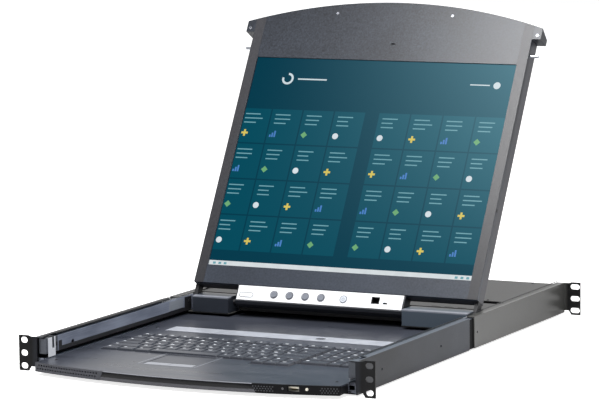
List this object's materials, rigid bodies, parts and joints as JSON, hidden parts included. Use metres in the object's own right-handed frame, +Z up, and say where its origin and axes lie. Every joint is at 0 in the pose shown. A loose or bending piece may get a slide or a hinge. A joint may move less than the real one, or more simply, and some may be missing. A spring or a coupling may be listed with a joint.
{
  "type": "rack console drawer",
  "caption": "One-unit rack drawer with a keyboard, a touchpad and a flip-up flat display, each on slides of its own, held by slotted ears front and rear.",
  "frame": {"origin": "on the plane under the rack ears, midway between the sides, and midway between the front of the drawer's bow and the back of the rear ears", "axes": "+X to the right as seen from the front, +Y to the rear, +Z up"},
  "size_m": [0.48, 0.6954, 0.4155],
  "materials": {
    "housing_paint": "fine satin powder coat, dark blue-grey",
    "rear_paint": "fine satin powder coat, warm grey",
    "cover_paint": "fine satin powder coat, warm grey",
    "slide_steel": "rolled steel, lightly oiled",
    "screw_steel": "blackened screw heads",
    "board_laminate": "green circuit board",
    "supply_case": "plated sheet",
    "black_plastic": "moulded, fine texture",
    "port_shell": "moulded connector shells",
    "drawer_plastic": "fine moulded texture",
    "bar_plastic": "smooth moulded bar",
    "key_plastic": "moulded key caps",
    "pad_plastic": "smooth touch surface",
    "click_plastic": "light satin buttons",
    "strip_film": "light grey face film",
    "lens_clear": "tinted light windows",
    "socket_metal": "nickel-plated shell",
    "lid_plastic": "fine moulded texture, grey",
    "lid_metal": "fine satin powder coat",
    "screen": "anti-glare screen surface",
    "panel_white": "off-white control panel",
    "button_grey": "moulded buttons",
    "button_clear": "translucent lit button",
    "pin_steel": "turned and plated",
    "rest_nylon": "black nylon"
  },
  "bodies": {
    "housing": {"chassis": "housing_paint", "front_brackets": "housing_paint", "top_cover": "cover_paint", "cover_screws": "screw_steel", "bulkhead": "housing_paint", "main_board": "board_laminate", "power_supply": "supply_case", "mains_inlet": "black_plastic", "computer_ports": "port_shell", "outer_slides": "slide_steel"},
    "rear_bracket_left": {"rear_bracket_left": "rear_paint"},
    "rear_bracket_right": {"rear_bracket_right": "rear_paint"},
    "power_rocker": {"power_rocker": "black_plastic"},
    "keyboard_middle_slides": {"keyboard_middle_slides": "slide_steel"},
    "display_middle_slides": {"display_middle_slides": "slide_steel"},
    "keyboard_drawer": {"keyboard_inner_slides": "housing_paint", "drawer_tray": "housing_paint", "drawer_deck": "drawer_plastic", "left_grille": "drawer_plastic", "front_bar": "bar_plastic", "port_bezel": "drawer_plastic", "usb_port": "socket_metal", "drawer_lenses": "lens_clear", "key_plate": "black_plastic", "touchpad": "pad_plastic", "indicator_strip": "strip_film", "deck_screws": "screw_steel"},
    "display_carriage": {"display_inner_slides": "housing_paint", "carriage_base": "housing_paint", "carriage_cover": "cover_paint", "pin_rests": "rest_nylon", "hinge_barrels": "screw_steel", "hinge_covers": "black_plastic"},
    "display_lid": {"lid_back": "lid_metal", "lid_bezel": "lid_plastic", "lid_handle": "lid_plastic", "lid_screws": "screw_steel", "screen_module": "supply_case", "screen_glass": "screen", "display_board": "board_laminate", "hinge_arms": "screw_steel", "control_housing": "black_plastic", "control_panel": "panel_white", "panel_socket": "socket_metal", "rest_pins": "pin_steel"},
    "function_keys": {"function_keys": "key_plastic"},
    "number_keys": {"number_keys": "key_plastic"},
    "letter_keys": {"letter_keys": "key_plastic"},
    "bottom_keys": {"bottom_keys": "key_plastic"},
    "number_pad_keys": {"number_pad_keys": "key_plastic"},
    "left_click_button": {"left_click_button": "click_plastic"},
    "right_click_button": {"right_click_button": "click_plastic"},
    "reset_button": {"reset_button": "click_plastic"},
    "menu_button_1": {"menu_button_1": "button_grey"},
    "menu_button_2": {"menu_button_2": "button_grey"},
    "menu_button_3": {"menu_button_3": "button_grey"},
    "menu_button_4": {"menu_button_4": "button_grey"},
    "power_button": {"power_button": "button_clear"},
    "mode_switch": {"mode_switch": "black_plastic"}
  },
  "joints": [
    {"name": "keyboard_slide", "type": "slide", "parent": "housing", "child": "keyboard_drawer", "axis": [0, -1, 0], "range_m": [0, 0.4]},
    {"name": "keyboard_middle_slide", "type": "slide", "parent": "housing", "child": "keyboard_middle_slides", "axis": [0, -1, 0], "range_m": [0, 0.2]},
    {"name": "display_slide", "type": "slide", "parent": "housing", "child": "display_carriage", "axis": [0, -1, 0], "range_m": [0, 0.4]},
    {"name": "display_middle_slide", "type": "slide", "parent": "housing", "child": "display_middle_slides", "axis": [0, -1, 0], "range_m": [0, 0.2]},
    {"name": "lid_hinge", "type": "hinge", "parent": "display_carriage", "child": "display_lid", "pos_m": [0, 0.0868, 0.0335], "axis": [1, 0, 0], "range_deg": [0, 120]},
    {"name": "rear_bracket_left_slide", "type": "slide", "parent": "housing", "child": "rear_bracket_left", "axis": [0, 1, 0], "range_m": [-0.01, 0.2]},
    {"name": "rear_bracket_right_slide", "type": "slide", "parent": "housing", "child": "rear_bracket_right", "axis": [0, 1, 0], "range_m": [-0.01, 0.2]},
    {"name": "power_rocker_tilt", "type": "hinge", "parent": "housing", "child": "power_rocker", "pos_m": [0.138, 0.3313, 0.021], "axis": [-1, 0, 0], "range_deg": [0, 20]},
    {"name": "function_keys_press", "type": "slide", "parent": "keyboard_drawer", "child": "function_keys", "axis": [0, 0, -1], "range_m": [0, 0.002], "stiffness_N_per_m": 1000, "springref_m": -0.002},
    {"name": "number_keys_press", "type": "slide", "parent": "keyboard_drawer", "child": "number_keys", "axis": [0, 0, -1], "range_m": [0, 0.002], "stiffness_N_per_m": 1000, "springref_m": -0.002},
    {"name": "letter_keys_press", "type": "slide", "parent": "keyboard_drawer", "child": "letter_keys", "axis": [0, 0, -1], "range_m": [0, 0.002], "stiffness_N_per_m": 1000, "springref_m": -0.002},
    {"name": "bottom_keys_press", "type": "slide", "parent": "keyboard_drawer", "child": "bottom_keys", "axis": [0, 0, -1], "range_m": [0, 0.002], "stiffness_N_per_m": 1000, "springref_m": -0.002},
    {"name": "number_pad_keys_press", "type": "slide", "parent": "keyboard_drawer", "child": "number_pad_keys", "axis": [0, 0, -1], "range_m": [0, 0.002], "stiffness_N_per_m": 1000, "springref_m": -0.002},
    {"name": "left_click_button_press", "type": "slide", "parent": "keyboard_drawer", "child": "left_click_button", "axis": [0, 0, -1], "range_m": [0, 0.0006], "stiffness_N_per_m": 800, "springref_m": -0.001},
    {"name": "right_click_button_press", "type": "slide", "parent": "keyboard_drawer", "child": "right_click_button", "axis": [0, 0, -1], "range_m": [0, 0.0006], "stiffness_N_per_m": 800, "springref_m": -0.001},
    {"name": "reset_button_press", "type": "slide", "parent": "keyboard_drawer", "child": "reset_button", "axis": [0, 1, 0], "range_m": [0, 0.0008], "stiffness_N_per_m": 400, "springref_m": -0.001},
    {"name": "menu_button_1_press", "type": "slide", "parent": "display_lid", "child": "menu_button_1", "axis": [0, 0.866, -0.5], "range_m": [0, 0.0008], "stiffness_N_per_m": 600, "springref_m": -0.001},
    {"name": "menu_button_2_press", "type": "slide", "parent": "display_lid", "child": "menu_button_2", "axis": [0, 0.866, -0.5], "range_m": [0, 0.0008], "stiffness_N_per_m": 600, "springref_m": -0.001},
    {"name": "menu_button_3_press", "type": "slide", "parent": "display_lid", "child": "menu_button_3", "axis": [0, 0.866, -0.5], "range_m": [0, 0.0008], "stiffness_N_per_m": 600, "springref_m": -0.001},
    {"name": "menu_button_4_press", "type": "slide", "parent": "display_lid", "child": "menu_button_4", "axis": [0, 0.866, -0.5], "range_m": [0, 0.0008], "stiffness_N_per_m": 600, "springref_m": -0.001},
    {"name": "power_button_press", "type": "slide", "parent": "display_lid", "child": "power_button", "axis": [0, 0.866, -0.5], "range_m": [0, 0.0008], "stiffness_N_per_m": 600, "springref_m": -0.001},
    {"name": "mode_switch_slide", "type": "slide", "parent": "display_lid", "child": "mode_switch", "axis": [1, 0, 0], "range_m": [-0.0015, 0.0015]}
  ],
  "couplings": [
    {"joint": "keyboard_middle_slide", "follows": "keyboard_slide", "ratio": 0.5},
    {"joint": "display_middle_slide", "follows": "display_slide", "ratio": 0.5}
  ]
}
